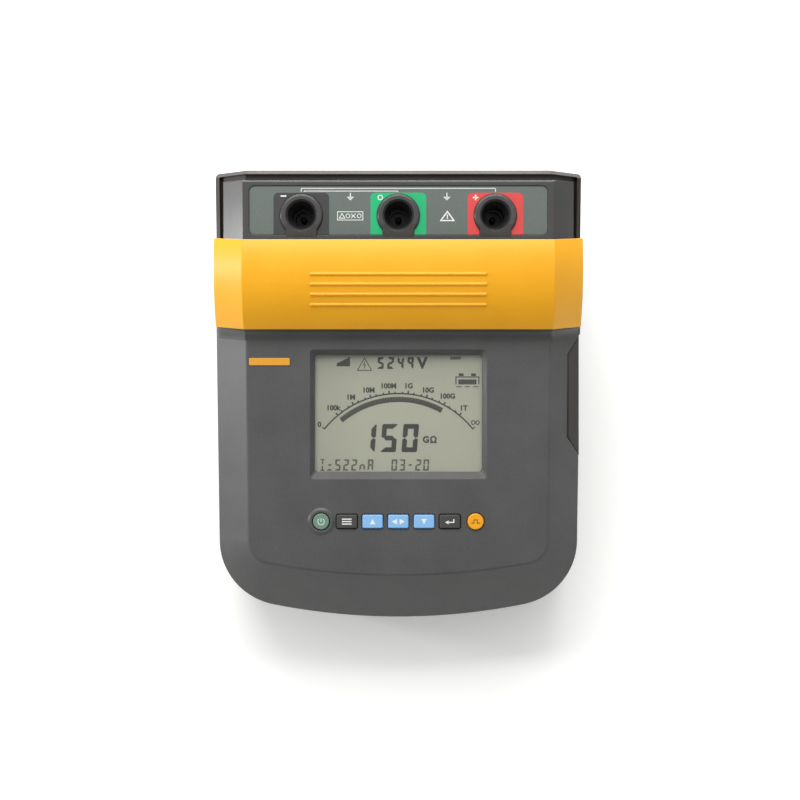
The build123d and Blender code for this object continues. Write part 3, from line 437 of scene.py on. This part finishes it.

# %% [markdown]
# ## Dress the CAD nodes
# The imported record gives every CAD node a finish by name. One table turns each finish
# into a material made above, and a loop puts it on. The terminal housing is smoother than
# the rest of the case, and the pins in the sockets get a dark brown brass whose darkness is
# painted shade for the depth of the sockets, so those four are dressed once more after the loop.

# %% Materials on the CAD nodes
FINISHES = {
    "case_grey": case_abs, "case_base": base_abs, "side_plastic": side_abs,
    "core_black": core_nylon, "grip_yellow": grip_abs, "seal_rubber": seal_epdm,
    "foot_rubber": foot_epdm, "label_grey": label_film, "tag_black": tag_dark,
    "tag_green": tag_green, "tag_red": tag_red, "sleeve_black": socket_pbt,
    "window_clear": window_acrylic, "display_glass": cell_glass, "light_guide": diffuser,
    "board_green": board, "component_black": phenolic, "badge_plate": badge_film,
    "contact_nickel": nickel, "contact_brass": brass, "infrared_red": infrared_acrylic,
    "lead_red": lead_silicone, "core_steel": core_steel, "winding_copper": copper,
    "battery_block": battery_case, "screw_steel": zinc, "fuse_glass": fuse_glass,
    "key_green": key_green, "key_dark": key_dark, "key_blue": key_blue,
    "key_amber": key_amber,
}
for part in frame["record"]["subparts"]:
    mesh = nodes[part["node"]].data
    mesh.materials.clear()
    mesh.materials.append(FINISHES[part["material_slot"]])
nodes["terminal_housing"].data.materials[0] = housing_abs
# the socket pins get the darkened brass, painted shade for the deep sockets
for socket_name in ("negative", "guard", "positive"):
    nodes[f"contact_pin_{socket_name}"].data.materials[0] = pin_brass_painted_shade
FLOOR_WHITE = "#f4f4f2"
floor_paint, _, floor_skin, _ = surface("painted_floor_white", FLOOR_WHITE, 0.9)
floor_skin.inputs["Emission Color"].default_value = linear(FLOOR_WHITE)
floor_skin.inputs["Emission Strength"].default_value = FLOOR_GLOW
floor.data.materials.append(floor_paint)

# %% [markdown]
# ## Drawing flat shapes
# Print, legends and segments are all flat shapes. Each is a list of outlines, and an
# outline is a list of points in panel millimetres. One function joins the outlines of a
# piece, gives them a thickness with the Solidify modifier, and lays them on the panel at
# a given height, so a piece made of fifty shapes is still one object.

# %% Flat shapes
def printed(name, outlines, height, material, body="case", thickness=0.05):
    """One thin piece made of flat shapes, lying at a height above the panel."""
    sheet = bmesh.new()
    for outline in outlines:
        face = sheet.faces.new([sheet.verts.new((x, y, 0)) for x, y in outline])
        face.normal_update()
        if face.normal.z < 0:
            face.normal_flip()
    bmesh.ops.remove_doubles(sheet, verts=sheet.verts, dist=0.002)
    sheet.transform(PANEL @ Matrix.Scale(MM, 4) @ Matrix.Translation((0, 0, height)))
    data = bpy.data.meshes.new(name)
    sheet.to_mesh(data)
    sheet.free()
    piece = bpy.data.objects.new(name, data)
    bpy.context.scene.collection.objects.link(piece)
    body_of_ink = piece.modifiers.new("thickness", "SOLIDIFY")
    body_of_ink.thickness = thickness * MM
    body_of_ink.offset = 1
    data.materials.append(material)
    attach(piece, body)
    return piece


def rectangle(x, y, width, height):
    """A rectangle about its middle."""
    half_width, half_height = width / 2, height / 2
    return [(x - half_width, y - half_height), (x + half_width, y - half_height),
            (x + half_width, y + half_height), (x - half_width, y + half_height)]


def stroke(points, width, closed=False):
    """A line of one width through points, as a strip of quads with mitred corners."""
    sides = []
    count = len(points)
    for i, (x, y) in enumerate(points):
        before = points[i - 1] if closed or i else None
        after = points[(i + 1) % count] if closed or i < count - 1 else None
        ways = []
        for a, b in ((before, (x, y)), ((x, y), after)):
            if a is not None and b is not None:
                length = math.dist(a, b)
                ways.append(((a[1] - b[1]) / length, (b[0] - a[0]) / length))
        across = [sum(w[k] for w in ways) / len(ways) for k in (0, 1)]
        reach = width / 2 / (across[0] ** 2 + across[1] ** 2)
        sides.append(((x + across[0] * reach, y + across[1] * reach),
                      (x - across[0] * reach, y - across[1] * reach)))
    pairs = list(zip(sides, sides[1:] + sides[:1]))
    if not closed:
        pairs = pairs[:-1]
    return [[a[0], b[0], b[1], a[1]] for a, b in pairs]


def arc(x, y, radius, start, end, steps=32):
    """Points along an arc, with angles in degrees from the X axis."""
    turns = [math.radians(start + (end - start) * i / steps) for i in range(steps + 1)]
    return [(x + radius * math.cos(t), y + radius * math.sin(t)) for t in turns]


print("a square of line has", len(stroke(rectangle(0, 0, 4, 4), 0.5, closed=True)), "quads")

# %% [markdown]
# ## Numerals
# The scale on the display carries numbers, as any dial does. Blender's own typeface is
# turned into a mesh and its faces are used as outlines. Display fonts are drawn heavy, so
# the letter outlines are grown a little.

# %% Numerals
CAPITAL_SHARE = 0.73            # height of a capital as a share of the type size


def numerals(text, x, y, height, weight=0.045):
    """A short text about its middle, as outlines. Height is that of a capital, and weight
    is how far the outlines are grown, as a share of the type size."""
    size = height / CAPITAL_SHARE
    curve = bpy.data.curves.new("numerals", "FONT")
    curve.body = text
    curve.size = size
    curve.offset = weight * size
    curve.resolution_u = 3
    holder = bpy.data.objects.new("numerals", curve)
    mesh = bpy.data.meshes.new_from_object(holder)
    middle = [(min(v.co[k] for v in mesh.vertices) + max(v.co[k] for v in mesh.vertices)) / 2
              for k in (0, 1)]
    outlines = [[(mesh.vertices[i].co.x - middle[0] + x, mesh.vertices[i].co.y - middle[1] + y)
                 for i in polygon.vertices] for polygon in mesh.polygons]
    bpy.data.meshes.remove(mesh)
    bpy.data.objects.remove(holder)
    bpy.data.curves.remove(curve)
    return outlines


print("outlines in a zero:", len(numerals("0", 0, 0, 3)))

# %% [markdown]
# ## Seven segments
# Each digit is up to seven bars, named a to g from the top bar clockwise, with g across
# the middle. Their ends are cut at 45 degrees and kept a hair apart, so neighbouring
# electrodes don't touch. The whole digit leans to the right by a few degrees.

# %% Seven-segment digits
LIT_BARS = {"0": "abcdef", "1": "bc", "2": "abged", "3": "abgcd", "4": "fgbc", "5": "afgcd",
            "9": "abcfg", "n": "egc", "A": "abcefg", "-": "g", "=": "gd"}


def digit(sign, x, y, width, height, bar, gap=0.25, lean=5):
    """One seven-segment sign about its middle."""
    w, h = width / 2, height / 2
    inner_w, inner_h, half = w - bar, h - bar, bar / 2
    cut = bar * 0.3
    top = [(-w + gap + cut, h), (w - gap - cut, h), (w - gap, h - cut / 2),
           (inner_w - gap / 2, inner_h), (-inner_w + gap / 2, inner_h), (-w + gap, h - cut / 2)]
    upper_right = [(w, h - gap - cut), (w, gap + half / 2), (w - half, gap / 2),
                   (inner_w, half + gap / 2), (inner_w, inner_h - gap), (w - cut / 2, h - gap)]
    middle = [(-w + half + gap / 2, 0), (-inner_w, half), (inner_w, half),
              (w - half - gap / 2, 0), (inner_w, -half), (-inner_w, -half)]
    bars = {"a": top, "b": upper_right, "g": middle,
            "c": [(px, -py) for px, py in upper_right],
            "d": [(px, -py) for px, py in top],
            "e": [(-px, -py) for px, py in upper_right],
            "f": [(-px, py) for px, py in upper_right]}
    shear = math.tan(math.radians(lean))
    return [[(x + px + py * shear, y + py) for px, py in bars[name]] for name in LIT_BARS[sign]]


def row_of_digits(text, x, y, pitch, width, height, bar, **more):
    """Signs side by side. X is the middle of the first one."""
    return [outline for i, sign in enumerate(text) if sign != " "
            for outline in digit(sign, x + i * pitch, y, width, height, bar, **more)]


print("bars in an eight-by-five digit:", len(digit("5", 0, 0, 5, 8, 1)))

# %% [markdown]
# ## What the display shows
# The reading is an analogue scale from nought to infinity over a bar of narrow segments,
# with the measured value below it in large digits. The scale is logarithmic, so between
# two powers of ten the small ticks stand at 2 and 5.

# %% Display scale
DISPLAY = (0.0, -8.8)           # middle of the visible glass
CELL_FACE = top_of("display_cell")
SCALE_X, SCALE_Y = 0.2, -50.3   # centre of the arc, from the middle of the glass
SCALE_RADIUS = 63.4
DECADE = 11.3                   # degrees between powers of ten
SCALE_END = 51.0
SCALE_LINE = 0.95
SCALE_TYPE = 3.4                # height of the numbers
BAR_RADIUS = 59.5
BAR_WIDTH = 3.5
BAR_START = 40                  # degrees left of the vertical
BAR_SEGMENTS = 69               # one to a degree
BAR_SEGMENT = 0.9               # degrees that each one covers
on_glass = (DISPLAY[0] + SCALE_X, DISPLAY[1] + SCALE_Y)
scale = stroke(arc(*on_glass, SCALE_RADIUS, 90 + SCALE_END, 90 - SCALE_END, 90), SCALE_LINE)


def tick(angle, inner, outer, width):
    """A stroke across the scale at an angle from the vertical, clockwise."""
    ray = math.radians(90 - angle)
    ends = [(on_glass[0] + r * math.cos(ray), on_glass[1] + r * math.sin(ray))
            for r in (inner, outer)]
    return stroke(ends, width)


for decade in range(8):
    angle = (decade - 3.5) * DECADE
    scale += tick(angle, SCALE_RADIUS + 0.4, SCALE_RADIUS + 2.1, 1.0)
    for multiple in (2, 5):
        small = angle + DECADE * math.log10(multiple)
        if decade < 7:
            scale += tick(small, SCALE_RADIUS + 0.4, SCALE_RADIUS + 1.3, SCALE_LINE)
for end in (-SCALE_END, SCALE_END):
    scale += tick(end, SCALE_RADIUS - 0.3, SCALE_RADIUS + 1.9, 0.8)
for segment in range(BAR_SEGMENTS):
    start = 90 + BAR_START - segment
    scale += stroke(arc(*on_glass, BAR_RADIUS, start, start - BAR_SEGMENT, 1), BAR_WIDTH)
SCALE_NUMBERS = [("0", -52.4, -7.4), ("100k", -42.6, 3.6), ("1M", -31.3, 10.7),
                 ("10M", -19.5, 15.4), ("100M", -6.3, 18.2), ("1G", 7.1, 18.2),
                 ("10G", 20.0, 15.4), ("100G", 32.9, 11.4), ("1T", 43.8, 3.5)]
for text, x, y in SCALE_NUMBERS:
    scale += numerals(text, DISPLAY[0] + x, DISPLAY[1] + y, SCALE_TYPE)
infinity = [(51.2 + 2.5 * math.cos(t) / (1 + math.sin(t) ** 2),
             -6.2 + 3.6 * math.sin(t) * math.cos(t) / (1 + math.sin(t) ** 2))
            for t in [2 * math.pi * i / 40 for i in range(40)]]
scale += stroke([(DISPLAY[0] + x, DISPLAY[1] + y) for x, y in infinity], 0.65, closed=True)
printed("display_scale", scale, CELL_FACE, lit_segment)
print("scale made of", len(scale), "shapes")

# %% [markdown]
# The measured value stands in the middle in large digits, the test voltage above the
# scale, and the current and the time on a bottom row whose segments switch faster and so
# look paler. Small signs show a rising test voltage, live terminals and the battery.

# %% Display readings
def on_display(x, y):
    """A point from the middle of the glass to the panel."""
    return DISPLAY[0] + x, DISPLAY[1] + y


reading = row_of_digits("150", *on_display(-20.2, -16.5), 14.05, 10.3, 18.7, 3.2, gap=0.05,
                        lean=4.4)
reading += row_of_digits("5249", *on_display(-11.7, 33.4), 6.6, 4.2, 7.8, 1.55, gap=0.03, lean=4)
for text, x, y, height in (("V", 15.9, 33.4, 7.4), ("G", 18.3, -17.5, 4.3),
                           ("5000V", 38.2, 36.6, 2.0), ("Ω", 23.3, -17.5, 4.3)):
    reading += numerals(text, *on_display(x, y), height)
printed("display_reading", reading, CELL_FACE, lit_segment)

signs = [[on_display(*p) for p in ((-41.0, 31.2), (-32.1, 31.2), (-32.1, 37.4), (-41.0, 33.1))]]
signs += stroke([on_display(*p) for p in ((-27.2, 28.5), (-17.8, 28.5), (-22.5, 36.7))], 0.55,
                closed=True)
signs += stroke([on_display(*p) for p in ((-22.2, 34.2), (-23.1, 31.9), (-21.9, 32.1),
                                          (-22.7, 29.7))], 0.5)
BATTERY_SIGN = (45.9, 20.8)
signs += stroke([on_display(BATTERY_SIGN[0] + x, BATTERY_SIGN[1] + y)
                 for x, y in ((-7.6, -1.6), (-7.6, 3.3), (7.6, 3.3), (7.6, -1.6))], 0.7)
for x, width in ((-5.6, 3.4), (0, 3.2), (5.6, 3.4)):
    signs += [rectangle(*on_display(BATTERY_SIGN[0] + x, BATTERY_SIGN[1] - 3.2), width, 0.6)]
for cell in range(10):
    signs += [rectangle(*on_display(BATTERY_SIGN[0] - 5.4 + cell * 1.2, BATTERY_SIGN[1]), 1.1, 3.3)]
for x in (-4.1, 4.1):
    signs += [rectangle(*on_display(BATTERY_SIGN[0] + x, BATTERY_SIGN[1] + 4.8), 3.2, 1.7)]
printed("display_signs", signs, CELL_FACE, lit_segment)

bottom = row_of_digits("=522nA", *on_display(-45.6, -34.4), 5.42, 3.7, 7.5, 1.15, gap=0.05, lean=3)
bottom += row_of_digits("03-20", *on_display(-2.7, -34.4), 5.3, 3.8, 7.5, 1.15, gap=0.05, lean=3)
for x, y, width, height in ((-50.4, -30.9, 2.6, 0.9), (-50.4, -37.9, 2.6, 0.9),
                            (-50.3, -32.7, 0.9, 2.4), (-50.5, -36.1, 0.9, 2.4)):
    bottom += [rectangle(*on_display(x, y), width, height)]
printed("display_bottom_row", bottom, CELL_FACE, faint_segment)
print("readings drawn")

# %% [markdown]
# ## Print on the terminal label
# White lines bracket the sockets that a limit holds between, with an earth sign below
# each. A framed row of signs and a triangle stand between the sockets. The wording of a
# real label is left out: the signs here say only what any such tester's would.

# %% Print on the terminal label
LABEL_FACE = top_of("terminal_label")
TAG_FACE = top_of("tag_negative")
SOCKETS = {"negative": -64.5, "guard": 0.0, "positive": 64.5}
LINE = 0.45
label_print = stroke([(-64.6, 138.3), (-64.6, 140.3), (-64.2, 140.7), (64.2, 140.7), (64.6, 140.3),
                      (64.6, 138.3)], LINE)
label_print += stroke([(-62.6, 138.3), (-62.6, 138.9), (-0.6, 138.9), (-0.2, 138.3)], LINE)
for x in (-31.9, 32.3):
    label_print += [rectangle(x, 136.3, 0.6, 2.9), rectangle(x, 134.8, 4.4, 0.5),
                    rectangle(x, 134.0, 2.9, 0.5), rectangle(x, 133.2, 1.4, 0.5)]
label_print += stroke(rectangle(-32.0, 122.4, 16.8, 5.5), 0.45, closed=True)
label_print += stroke([(-39.2, 120.9), (-35.6, 120.9), (-37.4, 124.0)], 0.5, closed=True)
for x, turn in ((-29.9, 1), (-29.9, -1)):
    label_print += stroke([(x - 1.4, 122.4 - 1.4 * turn), (x + 1.4, 122.4 + 1.4 * turn)], 0.55)
for x in (-33.5, -26.0):
    label_print += stroke(arc(x, 122.4, 1.3, 0, 360, 20)[:-1], 0.45, closed=True)
label_print += stroke([(28.2, 119.3), (37.0, 119.3), (32.6, 125.3)], 0.8, closed=True)
label_print += [rectangle(32.6, 122.2, 0.7, 2.2), rectangle(32.6, 120.6, 0.7, 0.6)]
printed("label_print", label_print, LABEL_FACE, white_ink)

tag_print = [rectangle(SOCKETS["negative"] - 11.9, 135.6, 3.7, 0.9)]
tag_print += stroke(arc(SOCKETS["guard"] - 12.0, 134.6, 1.5, 0, 360, 24)[:-1], 0.6, closed=True)
for width, height in ((3.7, 0.9), (0.9, 3.7)):
    tag_print += [rectangle(SOCKETS["positive"] - 13.1, 134.6, width, height)]
printed("tag_print", tag_print, TAG_FACE, white_ink)
print("label printed")

# %% [markdown]
# ## Key legends
# The keys carry the usual signs: a broken ring for power, arrows, and for the three keys
# that have a word on a real tester a plain sign instead, a list, a return arrow and a
# pulse. Each legend rides on its own key, so it goes down when the key does.

# %% Key legends
KEY_ROW = -80.2
KEY_PITCH = 17.0
KEY_ORDER = ["power", "function", "up", "left_right", "down", "enter", "test"]


def key_middle(name):
    return (KEY_ORDER.index(name) - 3) * KEY_PITCH


def arrow(x, y, reach, turn):
    """A solid arrowhead pointing along an angle in degrees."""
    ray = math.radians(turn)
    tip = [(reach, 0), (-reach, reach * 1.05), (-reach, -reach * 1.05)]
    return [(x + px * math.cos(ray) - py * math.sin(ray),
             y + px * math.sin(ray) + py * math.cos(ray)) for px, py in tip]


def legend(name, outlines, ink):
    """Print on a key, at home on the key's own middle."""
    shifted = [[(x + key_middle(name), y + KEY_ROW) for x, y in outline] for outline in outlines]
    return printed(f"legend_{name}", shifted, top_of(f"key_{name}"), ink,
                   body=f"{name}_key", thickness=0.04)


legend("power", stroke(arc(0, 0, 2.1, 125, 415, 36), 0.55) + [rectangle(0, 1.0, 0.55, 2.6)],
       pale_ink)
legend("function", [rectangle(0, y, 6.4, 0.75) for y in (1.6, 0, -1.6)], white_ink)
legend("up", [arrow(0, 0, 1.75, 90)], white_ink)
legend("left_right", [arrow(-2.6, 0, 1.75, 180), arrow(2.6, 0, 1.75, 0)], white_ink)
legend("down", [arrow(0, 0, 1.75, -90)], white_ink)
return_line = [(2.6, 1.7), (2.6, -0.5), (-1.4, -0.5)]
legend("enter", stroke(return_line, 0.7) + [arrow(-2.0, -0.5, 1.2, 180)], white_ink)
pulse = [(-3.0, -1.0), (-1.1, -1.0), (-1.1, 1.1), (1.1, 1.1), (1.1, -1.0), (3.0, -1.0)]
legend("test", stroke(pulse, 0.6), brown_ink)
print("legends:", len(KEY_ORDER))
